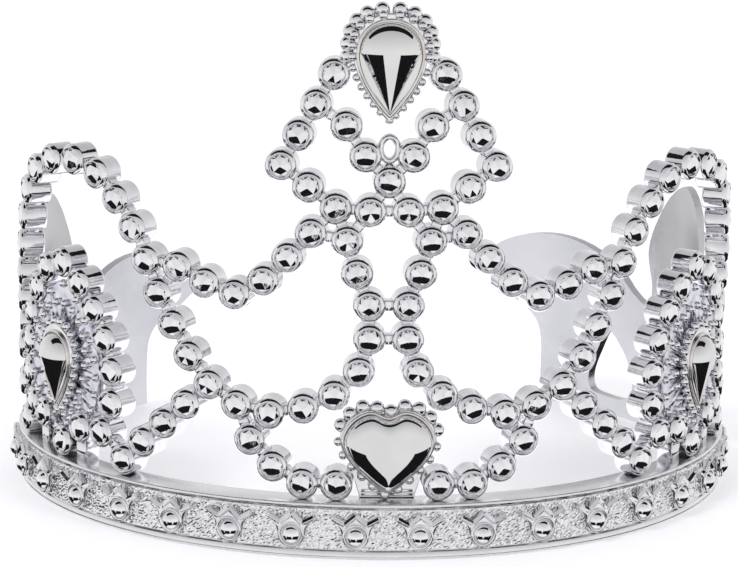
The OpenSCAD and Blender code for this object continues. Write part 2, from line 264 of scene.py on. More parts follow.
def tube(line, r, sides=8, height=0.0):
    """A closed round wire that follows a closed flat outline at a height."""
    p = np.array(line, float)
    n = len(p)
    along = np.roll(p, -1, 0) - np.roll(p, 1, 0)
    out = np.stack([along[:, 1], -along[:, 0]], 1)
    out /= np.linalg.norm(out, axis=1)[:, None]
    points = []
    for k in range(sides):
        a = 2 * math.pi * k / sides
        points += [(*q, height + r * math.sin(a)) for q in p + out * r * math.cos(a)]
    faces = []
    for k in range(sides):
        m = (k + 1) % sides
        faces += [(k * n + i, k * n + (i + 1) % n, m * n + (i + 1) % n, m * n + i) for i in range(n)]
    return points, faces


def smooth_loop(line, steps):
    """A closed Catmull-Rom line through points."""
    p = np.array(line, float)
    n = len(p)
    out = []
    for i in range(n):
        a, b, c, d = p[i - 1], p[i], p[(i + 1) % n], p[(i + 2) % n]
        for k in range(steps):
            f = k / steps
            square = (2 * a - 5 * b + 4 * c - d) * f * f
            cube = (3 * b - a - 3 * c + d) * f**3
            out.append(0.5 * (2 * b + (c - a) * f + square + cube))
    return np.array(out)


def spaced(line, count, closed=True):
    """Points evenly spaced round a closed line, or from end to end of an open one."""
    p = np.vstack([line, line[:1]]) if closed else np.array(line)
    run = np.concatenate([[0], np.cumsum(np.linalg.norm(np.diff(p, axis=0), axis=1))])
    at = np.linspace(0, run[-1], count, endpoint=not closed)
    return np.stack([np.interp(at, run, p[:, k]) for k in range(p.shape[1])], 1)


# ---------------------------------------------------------------- reading the frame
def node_points(name):
    """Every corner of a CAD node, in millimetres."""
    mesh = frame["nodes"][name].data
    co = np.zeros(len(mesh.vertices) * 3, np.float32)
    mesh.vertices.foreach_get("co", co)
    return co.reshape(-1, 3).astype(float) / MM


def islands(name):
    """The separate solids of a node, each as an array of its points."""
    mesh = frame["nodes"][name].data
    co = node_points(name)
    keys = {}
    same = [keys.setdefault(tuple(np.round(p, 3)), i) for i, p in enumerate(co)]
    parent = list(range(len(co)))

    def root(i):
        while parent[i] != i:
            parent[i] = parent[parent[i]]
            i = parent[i]
        return i

    for poly in mesh.polygons:
        first = root(same[poly.vertices[0]])
        for v in poly.vertices[1:]:
            parent[root(same[v])] = first
    groups = {}
    for i in range(len(co)):
        groups.setdefault(root(same[i]), []).append(co[i])
    return [np.array(g) for g in groups.values()]


def outward_of(points):
    """The direction that the ring faces where a solid's middle is."""
    x, y, z = (points.min(0) + points.max(0)) / 2
    t = math.degrees(math.atan2(x / HALF_WIDTH, -y / depth_at(z)))
    h = heading(t, z)
    return Vector((math.sin(h), -math.cos(h), 0))


def face_place(points, back_off):
    """Placement of a flat-backed solid: its middle, level with its back plus back_off."""
    n = outward_of(points)
    side = Vector((0, 0, 1)).cross(n)
    d = points @ np.array(n)
    s = points @ np.array(side)
    mid = n * (d.min() + back_off) + side * ((s.min() + s.max()) / 2)
    mid.z = (points[:, 2].min() + points[:, 2].max()) / 2
    return facing(mid, n)


ON_BACK = 0.06  # corners this near a gem's back belong to its outline


def back_outline(node):
    """A gem's own placement, and its back outline in that placement, anticlockwise."""
    co = node_points(node)
    place = face_place(co, 0)
    local = np.array([place.inverted() @ Vector(p) for p in co])
    rim = np.unique(np.round(local[local[:, 2] < ON_BACK][:, :2], 3), axis=0)
    return place, rim[np.argsort(np.arctan2(rim[:, 1], rim[:, 0]))]


STONE_NODES = [n for n in frame["nodes"] if n.endswith("_stones")]
PAIRED_CHAINS = ["column", "lower_arc", "garland", "swag", "side_arch", "side_scroll"]
PAIRED_CHAINS += ["front_brace", "rear_brace"]
CHAIN_NODES = ["peak_frame", "peak_inner_v"] + [f"{name}_{side}" for name in PAIRED_CHAINS for side in SIDES]
CHAIN_REACH = 2.7  # a bead belongs to the chain with the most corners this near its face
chain_points = {n: node_points(n) for n in CHAIN_NODES}


def read_beads():
    """Every bead: its face's centre, its outward direction, its chain node and its stones node."""
    found = []
    for node in STONE_NODES:
        for solid in islands(node):
            place = face_place(solid, SEAT_IN)
            at = np.array(place.translation)
            gaps = {n: np.linalg.norm(p - at, axis=1) for n, p in chain_points.items()}
            near = {n: int((gap < CHAIN_REACH).sum()) for n, gap in gaps.items()}
            found.append({"place": place, "at": at, "stones": node, "chain": max(near, key=near.get)})
    return found


beads = read_beads()


# ---------------------------------------------------------------- materials
DARK_TO = 0.35  # the drift's noise is all dark below this
LIGHT_FROM = 0.62  # and all light above this
SKIN_DEPTH = 0.00006  # metres


def plated(name, light, dark, rough, patch, grain, bump):
    """Bright plating: a slight drift in tint and gloss, and a fine skin to the surface.

    The tints and the roughness drift between two values. patch and grain are the noise scales of the
    drift and of the skin, and bump is the skin's strength.
    """
    mat = bpy.data.materials.new(name)
    mat.use_nodes = True
    nodes, links = mat.node_tree.nodes, mat.node_tree.links
    shader = nodes["Principled BSDF"]
    shader.inputs["Metallic"].default_value = 1.0
    place = nodes.new("ShaderNodeTexCoord")
    drift = nodes.new("ShaderNodeTexNoise")
    drift.inputs["Scale"].default_value = patch
    drift.inputs["Detail"].default_value = 3
    tint = nodes.new("ShaderNodeValToRGB")
    tint.color_ramp.elements[0].position = DARK_TO
    tint.color_ramp.elements[0].color = (*dark, 1)
    tint.color_ramp.elements[1].position = LIGHT_FROM
    tint.color_ramp.elements[1].color = (*light, 1)
    gloss = nodes.new("ShaderNodeMapRange")
    gloss.inputs["To Min"].default_value = rough[0]
    gloss.inputs["To Max"].default_value = rough[1]
    fine = nodes.new("ShaderNodeTexNoise")
    fine.inputs["Scale"].default_value = grain
    fine.inputs["Detail"].default_value = 2
    relief = nodes.new("ShaderNodeBump")
    relief.inputs["Strength"].default_value = bump
    relief.inputs["Distance"].default_value = SKIN_DEPTH
    links.new(place.outputs["Object"], drift.inputs["Vector"])
    links.new(place.outputs["Object"], fine.inputs["Vector"])
    links.new(drift.outputs["Fac"], tint.inputs["Fac"])
    links.new(tint.outputs["Color"], shader.inputs["Base Color"])
    links.new(drift.outputs["Fac"], gloss.inputs["Value"])
    links.new(gloss.outputs["Result"], shader.inputs["Roughness"])
    links.new(fine.outputs["Fac"], relief.inputs["Height"])
    links.new(relief.outputs["Normal"], shader.inputs["Normal"])
    return mat


CHROME = plated("plated_cups", (0.88, 0.88, 0.90), (0.76, 0.75, 0.78), (0.04, 0.10), 240, 900, 0.2)
STONE = plated("plated_stones", (0.93, 0.93, 0.95), (0.84, 0.84, 0.87), (0.02, 0.06), 300, 1500, 0.06)
GEM = plated("plated_gems", (0.81, 0.81, 0.80), (0.74, 0.74, 0.75), (0.015, 0.04), 90, 600, 0.05)
RIM = plated("gem_rims", (0.80, 0.77, 0.75), (0.66, 0.62, 0.60), (0.08, 0.16), 200, 900, 0.2)
RIBBED = plated("ribbed_settings", (0.84, 0.84, 0.90), (0.66, 0.66, 0.75), (0.14, 0.30), 700, 1300, 0.4)
BAND = plated("band_smooth", (0.88, 0.88, 0.89), (0.80, 0.80, 0.81), (0.20, 0.32), 160, 800, 0.25)
# The stipple's tint drifts finely between near white and grey: painted glints and dark specks of reflection
# on its pressed face.
STIPPLE_PAINTED_GLINTS = plated("band_stipple_painted_glints", (0.98, 0.98, 0.99), (0.72, 0.72, 0.75), (0.05, 0.16), 3400, 5200, 0.5)
# The rear leaves' tint is darker than the other plating, which is painted shade; their rougher gloss gives a
# satin look.
LEAF_PAINTED_SHADE = plated("leaf_satin_painted_shade", (0.60, 0.60, 0.61), (0.50, 0.50, 0.52), (0.22, 0.34), 60, 500, 0.3)


# ---------------------------------------------------------------- beads, links and stones
BACK_R = 0.4  # rounding of a cup's back edge
BACK_CLEAR = 0.55  # where the flats beside that edge begin
SIDE_R = CUP_R - 0.02
SIDE_TOP = -0.85
SHOULDER_R = 1.5
SHOULDER_AT = (1.55, -1.3)  # radius and height of the shoulder arc's centre
SHOULDER_TURN = (24, 60)  # the stretch of that arc that shows, in degrees
RIM_W = 0.07  # the narrow lip round the stone
RIM_DROP = 0.08


def cup_profile():
    """Back, side, broad round shoulder, narrow lip and the seat for the stone."""
    back = [(0, -CUP_LEN), (CUP_R - BACK_CLEAR, -CUP_LEN)]
    back += arc(CUP_R - BACK_R, BACK_R - CUP_LEN, BACK_R, -90, 0, 4)
    side = [(SIDE_R, BACK_CLEAR - CUP_LEN), (SIDE_R, SIDE_TOP)]
    shoulder = arc(*SHOULDER_AT, SHOULDER_R, *SHOULDER_TURN, 9)
    seat = [(SEAT_R + RIM_W, 0), (SEAT_R, -RIM_DROP), (SEAT_R, -SEAT_IN), (0, -SEAT_IN)]
    return back + side + shoulder + seat


CUP = lathe(cup_profile(), 32)

STONE_FACETS = 7
# Radius, height and turn, in facets, of each ring of a stone's corners
STONE_RINGS = [(2.14, -0.62, 0.0), (2.06, -0.34, 0.0), (1.55, 0.02, 0.5), (0.14, 0.38, 0.5)]


def stone_mesh(turn):
    """A low cut stone: girdle, crown facets, and wide facets turned half a step that meet at a tiny table."""
    n = STONE_FACETS
    points, faces = [], []
    for r, z, half in STONE_RINGS:
        for k in range(n):
            a = 2 * math.pi * (k + half) / n + turn
            points.append((r * math.cos(a), r * math.sin(a), z))
    for k in range(n):
        m = (k + 1) % n
        a, b, c, d = n + k, n + m, 2 * n + k, 2 * n + m
        faces += [(k, m, b, a), (a, b, c), (b, d, c), (c, d, 3 * n + m, 3 * n + k)]
    faces.append(tuple(3 * n + k for k in range(n)))
    points.append((0, 0, STONE_RINGS[0][1]))
    faces += [(len(points) - 1, (k + 1) % n, k) for k in range(n)]
    return points, faces


LINK_W = 2.0
LINK_D = 2.6
LINK_EDGE = 0.35
LINK_SUNK = 1.0  # how far a link's ends reach into the cups


def bead_axis(bead):
    """The direction that a bead faces in."""
    return bead["place"].to_3x3() @ Vector((0, 0, 1))


def add_link(piece, a, b):
    """A rounded bar between two beads, behind their faces."""
    inset = Vector((0, 0, -LINK_IN))
    start, end = a["place"] @ inset, b["place"] @ inset
    along = end - start
    trim = CUP_R - LINK_SUNK
    x = along.normalized()
    out = (bead_axis(a) + bead_axis(b)).normalized()
    y = (out - x * out.dot(x)).normalized()
    rot = Matrix((x, y, x.cross(y))).transposed().to_4x4()
    bar = rounded_bar(along.length - 2 * trim, LINK_D, LINK_W, LINK_EDGE)
    piece.add(*bar, Matrix.Translation(start + x * trim) @ rot)


def chain_links(group):
    """Neighbouring pairs of a chain: the shortest tree through its beads."""
    todo, done, pairs = set(range(1, len(group))), {0}, []
    while todo:
        _, i, j = min((np.linalg.norm(group[i]["at"] - group[j]["at"]), i, j) for i in done for j in todo)
        pairs.append((i, j))
        todo.remove(j)
        done.add(j)
    return pairs


TIE_REACH = 7.4  # beads of two chains that are nearer than this are tied


def ties():
    """Pairs of beads of different chains that stand next to each other."""
    found = []
    for i, a in enumerate(beads):
        for b in beads[i + 1 :]:
            if a["chain"] != b["chain"] and np.linalg.norm(a["at"] - b["at"]) < TIE_REACH:
                found.append((a, b))
    return found


POST_W = 2.8
POST_D = 3.4
POST_EDGE = 0.3
POST_BEHIND = 0.2  # how far behind the links a post stands
POST_IN_CUP = 0.8  # how far its top reaches into the cup
POST_IN_BAND = 0.1


def add_post(piece, bead):
    """A small post from a bead down to the band's ledge."""
    top = bead["at"][2] - CUP_R + POST_IN_CUP
    low = BAND_H - POST_IN_BAND
    base = bead["place"] @ Vector((0, 0, -LINK_IN - POST_BEHIND))
    side = bead["place"].to_3x3() @ Vector((1, 0, 0))
    # These axes are left-handed: the bar keeps its shape, but its faces are wound inwards
    rot = Matrix((Vector((0, 0, 1)), side, bead_axis(bead))).transposed().to_4x4()
    bar = rounded_bar(top - low, POST_W, POST_D, POST_EDGE)
    piece.add(*bar, Matrix.Translation((base.x, base.y, low)) @ rot)


def add_foot(piece, group, pairs):
    """Links a scroll's lowest bead to the two nearest ones, unless it already is, with a post under each."""
    foot = min(range(len(group)), key=lambda i: group[i]["at"][2])
    gaps = [np.linalg.norm(b["at"] - group[foot]["at"]) for b in group]
    for i in sorted(range(len(group)), key=gaps.__getitem__)[1:3]:
        if (i, foot) not in pairs and (foot, i) not in pairs:
            add_link(piece, group[foot], group[i])
        add_post(piece, group[i])


def build_chains():
    """Each chain's cups and links, and its ties to the chains beside it."""
    tied = ties()
    for node in CHAIN_NODES:
        group = [b for b in beads if b["chain"] == node]
        pairs = chain_links(group)
        piece = Piece()
        for b in group:
            piece.add(*CUP, b["place"])
        for i, j in pairs:
            add_link(piece, group[i], group[j])
        if node.startswith("side_scroll"):
            add_foot(piece, group, pairs)
        for a, b in tied:
            if a["chain"] == node:
                add_link(piece, a, b)
        piece.made(f"{node}_cups", [node], "metallised_plastic", [CHROME])


def build_stones():
    """A cut stone in every cup, each turned at random."""
    for node in STONE_NODES:
        piece = Piece()
        for b in beads:
            if b["stones"] == node:
                piece.add(*stone_mesh(rng.uniform(0, math.tau / STONE_FACETS)), b["place"], smooth=False)
        piece.made(f"{node}_cut", [node], "stone_facets", [STONE])


# ---------------------------------------------------------------- band
NARROW_FROM = 90  # the band narrows towards its rear ends from here, in degrees
NARROW_OVER = 30
LEDGE_END = 94  # the ledge has died away here
LEDGE_FADE = 8
LEDGE_LEFT = 0.01  # the little that stays of it there
FACE_ROWS = 26
SWEEP_STEP = 0.3
STIPPLE_RELIEF = (-0.08, 0.06)  # from its peaks to its pits
BAND_EDGE = 0.22
FOOT_LIP_H = 1.0
FOOT_SLOPE_H = 0.35  # the stippled face begins this far above the foot lip
FACE_DROP = 1.1  # and ends this far below the top
TOP_LINE = ((0.8, -0.22), (0.72, -LIP))  # drop from the top, and depth, of the corners under the top line


def band_scale(t):
    """The band's height at an angle, as a share of its height at the front."""
    f = min(1.0, max(0.0, (abs(t) - NARROW_FROM) / NARROW_OVER))
    return 1 - (1 - BAND_REAR_H / BAND_H) * f * f * (3 - 2 * f)


def ledge_share(t):
    """How much of the ledge's full reach there is at an angle."""
    return max(0.0, min(1.0, (LEDGE_END - abs(t)) / LEDGE_FADE))


def band_section(t):
    """The band's section at an angle, as (height, depth). The first FACE_ROWS + 1 points are stippled."""
    s = band_scale(t)
    h, lip, e = BAND_H * s, FOOT_LIP_H, BAND_EDGE
    ledge = BAND_WALL + LEDGE_LEFT + (LEDGE - BAND_WALL) * ledge_share(t)
    low, high = (lip + FOOT_SLOPE_H) * s, h - FACE_DROP * s
    face = [(low + (high - low) * k / FACE_ROWS, 0.0) for k in range(FACE_ROWS + 1)]
    line = [(h - drop * s, depth) for drop, depth in TOP_LINE]
    top = arc(h - e, -LIP + e, e, -90, 0, 3)
    inner = arc(h - e, ledge - e, e, 0, 90, 3) + [(h - LEDGE_T * s, ledge), (h - LEDGE_T * s, BAND_WALL)]
    foot = arc(e, BAND_WALL - e, e, 90, 180, 3) + arc(e, -LIP + e, e, 180, 270, 3)
    lip_top = [(lip * s, -LIP), (lip * s + 0.12, -0.2)]
    return face + line + top + inner + foot + lip_top


def build_band():
    """The section swept round the ring, with a random stipple pressed into its face."""
    count = int(math.radians(END_LEFT + END_RIGHT) * (HALF_WIDTH + HALF_DEPTH) / 2 / SWEEP_STEP)
    angles = [-END_LEFT + (END_LEFT + END_RIGHT) * i / count for i in range(count + 1)]
    rows = [band_section(t) for t in angles]
    n = len(rows[0])
    grain = rng.uniform(*STIPPLE_RELIEF, (count + 1, FACE_ROWS + 1))
    grain[:, 0] = grain[:, -1] = 0
    points = [
        tuple(ring_point(t, z, d + (grain[i, k] if k <= FACE_ROWS else 0)))
        for i, t in enumerate(angles)
        for k, (z, d) in enumerate(rows[i])
    ]
    stippled, plain = [], []
    for i in range(count):
        for k in range(n):
            a, b = i * n + k, i * n + (k + 1) % n
            (stippled if k < FACE_ROWS else plain).append((a, a + n, b + n, b))
    plain += [tuple(range(n)), tuple(count * n + k for k in reversed(range(n)))]
    piece = Piece()
    piece.add(points, stippled + plain)
    # The stippled faces take the plating with painted glints.
    for f in range(len(stippled)):
        piece.slots[f], piece.smooth[f] = 1, False
    piece.made("band_swept", ["band"], "metallised_plastic", [BAND, STIPPLE_PAINTED_GLINTS])


def angle_after(length):
    """Angle reached after a length round the base of the ring."""
    t, run, step = 0.0, 0.0, 0.25
    while run < length:
        run += (ring_point(t + step, 0) - ring_point(t, 0)).length
        t += step
    return t - step * (run - length) / (ring_point(t, 0) - ring_point(t - step, 0)).length


# ---------------------------------------------------------------- flower studs
STUD_BALL_D = 3.75
STUD_BALL_OUT = 0.35
TULIP_FOOT_R = 2.5
TULIP_WAIST = (2.75, 1.2)
TULIP_BACK = -0.5
TULIP_FRONT = 0.95
TULIP_EDGE = 0.3
CREST_BAR = 0.75
CREST_DROP = 0.3  # the bevelled edge runs this far below the zigzag's own line
# The tulip's zigzag top, from its right point to its left point
CREST_HALF = [(4.1, 3.7), (2.0, 2.5), (0, 4.2)]
CREST = CREST_HALF + [(-x, y) for x, y in reversed(CREST_HALF[:-1])]


def tulip_outline():
    """Round at the foot and three points at the top, anticlockwise."""
    x, y = TULIP_WAIST
    return arc(0, 0, TULIP_FOOT_R, 180, 360, 14) + [(x, y)] + CREST + [(-x, y)]


def add_crest(piece, place):
    """A bevelled edge along the zigzag top of a tulip."""
    for (ax, ay), (bx, by) in zip(CREST, CREST[1:]):
        bar = rounded_bar(math.dist((ax, ay), (bx, by)), CREST_BAR, CREST_BAR, 0.08)
        turn = Matrix.Rotation(math.atan2(by - ay, bx - ax), 4, "Z") @ Matrix.Rotation(math.pi / 4, 4, "X")
        at = Matrix.Translation((ax, ay - CREST_DROP, TULIP_FRONT))
        piece.add(*bar, place @ at @ turn, smooth=False)


def bowl_profile():
    """The round holder of a stud's ball: its back, its rolled rim and its hollow."""
    rim = arc(2.1, TULIP_FRONT, 0.3, -30, 190, 8)
    return [(0, -0.4), (2.4, -0.4)] + rim + [(1.8, 0.5), (0, 0.5)]


def build_studs():
    """A row of tulips round each side of the band, each with a ball in its bowl."""
    petals, balls = Piece(), Piece()
    tulip = plate(tulip_outline(), TULIP_BACK, TULIP_FRONT, TULIP_EDGE)
    bowl = lathe(bowl_profile(), 28)
    sphere = ball(STUD_BALL_D, 14, 28)
    for side in (-1, 1):
        for i in range(STUDS_A_SIDE):
            place = on_ring(side * angle_after((i + 0.5) * STUD_PITCH), STUD_Z)
            petals.add(*tulip, place)
            add_crest(petals, place)
            petals.add(*bowl, place)
            balls.add(*sphere, place @ Matrix.Translation((0, 0, STUD_BALL_OUT)))
    petals.made("tulip_petals", ["flower_studs"], "metallised_plastic", [CHROME])
    balls.made("stud_balls", ["ball_studs"], "stone_facets", [STONE])


# ---------------------------------------------------------------- gems
DROP_HEIGHTS = {"peak_gem": 3.0, "side_gem_right": 2.6, "side_gem_left": 2.6}
HEART_HEIGHT = 3.4
HEART_RINGS = 28
HEART_PUFF = 0.5  # below 1, the sides are steep and the top is broad
DOME_FROM = 0.66  # the share of a drop's length at which its dome begins
DOME_RINGS = 14
DROP_INSIDE_RIM = 0.93
TIP_H = 0.25
# Where the facets' corners stand across the foot of the dome, as shares of its half width
FACET_SHARES = (1.0, 0.95, 0.78, 0.55, 0.28, -0.28, -0.55, -0.78, -0.95, -1.0)


def dome(edge, middle, height):
    """Half a dome over an open edge from its right end to its left, both level with the middle."""
    points, n = [], len(edge)
    for k in range(DOME_RINGS):
        f = math.pi / 2 * k / DOME_RINGS
        scale = math.cos(f)
        points += [(x * scale, middle + (y - middle) * scale, height * math.sin(f)) for x, y in edge]
    points.append((0, middle, height))
    last = (DOME_RINGS - 1) * n
    faces = [(k + i, k + i + 1, k + n + i + 1, k + n + i) for k in range(0, last, n) for i in range(n - 1)]
    faces += [(last + i, last + i + 1, last + n) for i in range(n - 1)]
    return points, faces


def drop_gem(piece, outline, height, place):
    """A drop whose upper third is a smooth dome, with long facets below that run to the tip."""
    line = smooth_loop(outline, 3)
    low, high = line[:, 1].min(), line[:, 1].max()
    split = low + (high - low) * DOME_FROM
    inner = line * DROP_INSIDE_RIM
    tip = (0.0, inner[:, 1].min(), TIP_H)
    right = inner[(inner[:, 1] < split) & (inner[:, 0] > 0.01)]
    right = right[np.argsort(right[:, 1])]
    half = float(right[:, 0].max())
    top = inner[inner[:, 1] >= split]
    top = top[np.argsort(np.arctan2(top[:, 1] - split, top[:, 0]))]
    top = np.vstack([[half, split], top[np.abs(top[:, 1] - split) > 0.05], [-half, split]])
    piece.add(*dome(top, split, height), place)

    crest = [(half * s, split, height * math.sqrt(1 - s * s)) for s in FACET_SHARES]
    facets = [corner for a, b in zip(crest, crest[1:]) for corner in (a, tip, b)]
    piece.add(facets, [(k, k + 2, k + 1) for k in range(0, len(facets), 3)], place, smooth=False)

    # The step under the dome, between its round edge and the facets' straight tops
    turns = np.linspace(0, math.pi, 2 * DOME_RINGS + 1)
    step = crest + [(half * math.cos(a), split, height * math.sin(a)) for a in turns]
    face = tuple(range(len(crest))) + tuple(reversed(range(len(crest), len(step))))
    piece.add(step, [face], place, smooth=False)

    # Flanks from the tip to the outline, and the flat back
    flank = [(half, split, 0.0)] + [(x, y, 0.0) for x, y in right[::-1]] + [(0.0, tip[1], 0.0)]
    for s in (1, -1):
        fan = [(s * x, y, z) for x, y, z in flank] + [tip]
        piece.add(fan, [(i, i + 1, len(flank)) for i in range(len(flank) - 1)], place, smooth=False)
    back = [(x, y, 0.0) for x, y in top] + [(-x, y, z) for x, y, z in flank[1:]] + flank[-2:0:-1]
    piece.add(back, [tuple(range(len(back)))], place, smooth=False)
    piece.add(*tube(line * 0.985, 0.34, 10, 0.05), place, slot=1)


def heart_gem(piece, outline, height, place):
    """A puffed heart in a fine round rim."""
    line = smooth_loop(outline, 3)
    n = len(line)
    points = []
    for k in range(HEART_RINGS):
        f = math.pi / 2 * k / HEART_RINGS
        scale = 0.97 * math.cos(f) ** HEART_PUFF
        points += [(x * scale, y * scale, height * math.sin(f) ** HEART_PUFF) for x, y in line]
    points.append((0, 0, height))
    last = (HEART_RINGS - 1) * n
    faces = [
        (k + i, k + (i + 1) % n, k + n + (i + 1) % n, k + n + i)
        for k in range(0, last, n)
        for i in range(n)
    ]
    faces += [(last + i, last + (i + 1) % n, last + n) for i in range(n)]
    faces.append(tuple(reversed(range(n))))
    piece.add(points, faces, place)
    piece.add(*tube(line, 0.32, 10, 0.1), place, slot=1)


def build_gems():
    """The heart, and the three drops."""
    heart_place, heart_line = back_outline("heart_gem")
    heart = Piece()
    heart_gem(heart, heart_line, HEART_HEIGHT, heart_place)
    heart.made("heart_gem_puffed", ["heart_gem"], "gem_facets", [GEM, RIM])
    for node, height in DROP_HEIGHTS.items():
        place, line = back_outline(node)
        piece = Piece()
        drop_gem(piece, line, height, place)
        piece.made(f"{node}_cut", [node], "gem_facets", [GEM, RIM], weld=True)


# ---------------------------------------------------------------- settings
CROWN_BALLS = 12
CROWN_SPREAD = 200  # how far round the peak gem's top the balls go, in degrees
CROWN_CENTRE = 5.5  # how far below the gem's top the middle of their arc is
# Reach past the gem, radius upwards, height and size of the outer and the inner ball of each pair
CROWN_PAIR = ((1.75, 7.2, -1.9, 2.9), (0.95, 6.35, -0.35, 1.8))
EDGE_BALLS = 6
HEART_BALLS = 20
WEB_BARS = (-4.6, 0.5)  # left ends of the raised bars on the heart's web
BAR_PITCH = 0.7
RIBS = 20
RIB_SIZE = (1.5, 1.2, 0.5)  # width, depth and rounding
RIB_FROM = 1.16  # a rib begins at this multiple of the gem's outline
RIB_SHORT = 0.2  # and ends this far inside the fan's edge
RIB_LEAST = 0.8  # a shorter one is left out
RIB_HEIGHT = -1.85
RIB_TILT = 0.12
# Place as a multiple of the gem's outline, height and size of each row of balls round a side gem
SIDE_ROWS = ((1.26, -0.9, 1.7), (1.75, -1.6, 1.5))
SIDE_ROW_BALLS = 22


def add_ball(piece, x, y, z, d, place):
    """Adds a ball of a diameter at a point of a placement."""
    piece.add(*ball(d), place @ Matrix.Translation((x, y, z)))


def build_peak_setting():
    """A backing plate, double balls round the dome and a row of small balls down each side to the tip."""
    place, outline = back_outline("peak_gem")
    line = spaced(smooth_loop(outline, 3), 36)
    top, widest = line[:, 1].max(), line[:, 0].max()
    piece = Piece()
    piece.add(*plate(line * 1.13, -3.6, -0.15, 0.35), place)
    for k in range(CROWN_BALLS):
        a = math.radians(90 - CROWN_SPREAD / 2 + CROWN_SPREAD * k / (CROWN_BALLS - 1))
        reach = np.interp(abs(math.cos(a)), [0, 1], [top, widest])
        for out, up, z, d in CROWN_PAIR:
            add_ball(piece, math.cos(a) * (reach + out), top - CROWN_CENTRE + math.sin(a) * up, z, d, place)
    for s in (1, -1):
        edge = sorted((p for p in line if s * p[0] > 0.4 and p[1] < 0.5), key=lambda p: -p[1])
        for x, y in spaced(edge, EDGE_BALLS, closed=False):
            add_ball(piece, x * 1.14 + s * 0.35, y * 1.05, -0.8, 1.6, place)
    add_ball(piece, 0, line[:, 1].min() - 0.9, -1.0, 1.7, place)
    piece.made("peak_setting_balls", ["peak_setting"], "metallised_plastic", [CHROME])


def build_heart_setting():
    """A backing plate ringed with balls, bigger behind the lobes, and under it a web with raised bars."""
    place, outline = back_outline("heart_gem")
    line = smooth_loop(outline, 3)
    piece = Piece()
    piece.add(*plate(line * 1.07, -3.4, -0.1, 0.35), place)
    for x, y in spaced(line * 1.10, HEART_BALLS):
        if y > 0.45 * line[:, 1].max():
            add_ball(piece, x, y + 0.3, -1.3, 2.7, place)
        else:
            add_ball(piece, x, y, -0.7, 1.8, place)
    drop = place.translation.z - BAND_H
    web = [(-4.9, -drop), (4.9, -drop), (6.5, -3.4), (-6.5, -3.4)]
    piece.add(*plate(web, -3.2, -1.6, 0.25), place)
    bar = rounded_bar(4.1, 0.55, 0.4, 0.15)
    for x in WEB_BARS:
        for k in range(2):
            piece.add(*bar, place @ Matrix.Translation((x, 0.7 + BAR_PITCH * k - drop, -1.55)))
    piece.made("heart_setting_balls", ["heart_setting"], "metallised_plastic", [CHROME])


def build_side_settings():
    """A fan of ribs behind each side gem, with balls at their ends and in two rows round the gem."""
    for side in SIDES:
        place, outline = back_outline(f"side_gem_{side}")
        line = smooth_loop(outline, 3)
        local = np.array([place.inverted() @ Vector(p) for p in node_points(f"side_setting_{side}")])
        fan = fan_outline(local[local[:, 2] < local[:, 2].min() + 0.05][:, :2])
        piece = Piece()
        piece.add(*plate(fan, -3.4, -2.0, 0.3), place, slot=1)
        piece.add(*plate(line * 1.18, -3.2, -0.1, 0.3), place)
        for k in range(RIBS):
            a = 2 * math.pi * k / RIBS
            u = np.array([math.cos(a), math.sin(a)])
            inner, outer = reach_along(line, u) * RIB_FROM, reach_along(fan, u) - RIB_SHORT
            if outer - inner > RIB_LEAST:
                bar = rounded_bar(outer - inner, *RIB_SIZE)
                start = Matrix.Rotation(a, 4, "Z") @ Matrix.Translation((inner, 0, RIB_HEIGHT))
                piece.add(*bar, place @ (start @ Matrix.Rotation(RIB_TILT, 4, "Y")), slot=1)
                add_ball(piece, *(u * (outer - 0.4)), -1.9, 1.6, place)
        for scale, z, d in SIDE_ROWS:
            for x, y in spaced(line * scale, SIDE_ROW_BALLS):
                add_ball(piece, x, y, z, d, place)
        name = f"side_setting_{side}"
        piece.made(f"{name}_ribbed", [name], "metallised_plastic", [CHROME, RIBBED])


def reach_along(line, u):
    """How far a closed outline reaches from the middle in a direction."""
    d = np.array(line)
    angle = np.arctan2(d[:, 1], d[:, 0])
    order = np.argsort(angle)
    reach = np.hypot(*d[order].T)
    return float(np.interp(math.atan2(u[1], u[0]), angle[order], reach, period=2 * math.pi))


def fan_outline(back):
    """The fan's outline, from the corners of its back, anticlockwise."""
    p = np.unique(np.round(back, 2), axis=0)
    angle = np.arctan2(p[:, 1] - p[:, 1].mean(), p[:, 0] - p[:, 0].mean())
    p = p[np.argsort(angle)]
    r = np.hypot(p[:, 0] - p[:, 0].mean(), p[:, 1] - p[:, 1].mean())
    return spaced(p[r > 0.45 * np.median(r)], 72)


# ---------------------------------------------------------------- leaves and the keyhole
LEAF_EDGE = 0.35
LEAF_BEVEL_FROM = 35  # edges sharper than this are rounded, in degrees
KEYHOLE = (1.55, 2.15)
KEYHOLE_WIRE = 0.62
KEYHOLE_DEEP = 1.8  # the wire is this many times as deep as it is wide


def softened(node):
    """A copy of a CAD leaf with its sharp edges rounded."""
    obj = frame["nodes"][node].copy()
    obj.data = frame["nodes"][node].data.copy()
    obj.name = f"{node}_soft"
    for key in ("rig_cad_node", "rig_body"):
        if key in obj:
            del obj[key]
    obj.parent = None
    bpy.context.scene.collection.objects.link(obj)
    weld = obj.modifiers.new("weld", "WELD")
    weld.merge_threshold = WELD_GAP
    bevel = obj.modifiers.new("bevel", "BEVEL")
    bevel.width = LEAF_EDGE * MM
    bevel.segments = 3
    bevel.limit_method = "ANGLE"
    bevel.angle_limit = math.radians(LEAF_BEVEL_FROM)
    # The leaves take the plating with the darker tint of painted shade.
    obj.data.materials.clear()
    obj.data.materials.append(LEAF_PAINTED_SHADE)
    for p in obj.data.polygons:
        p.use_smooth = True
    normals = obj.modifiers.new("normals", "WEIGHTED_NORMAL")
    normals.keep_sharp = False
    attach(obj, "root")
    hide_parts(node)


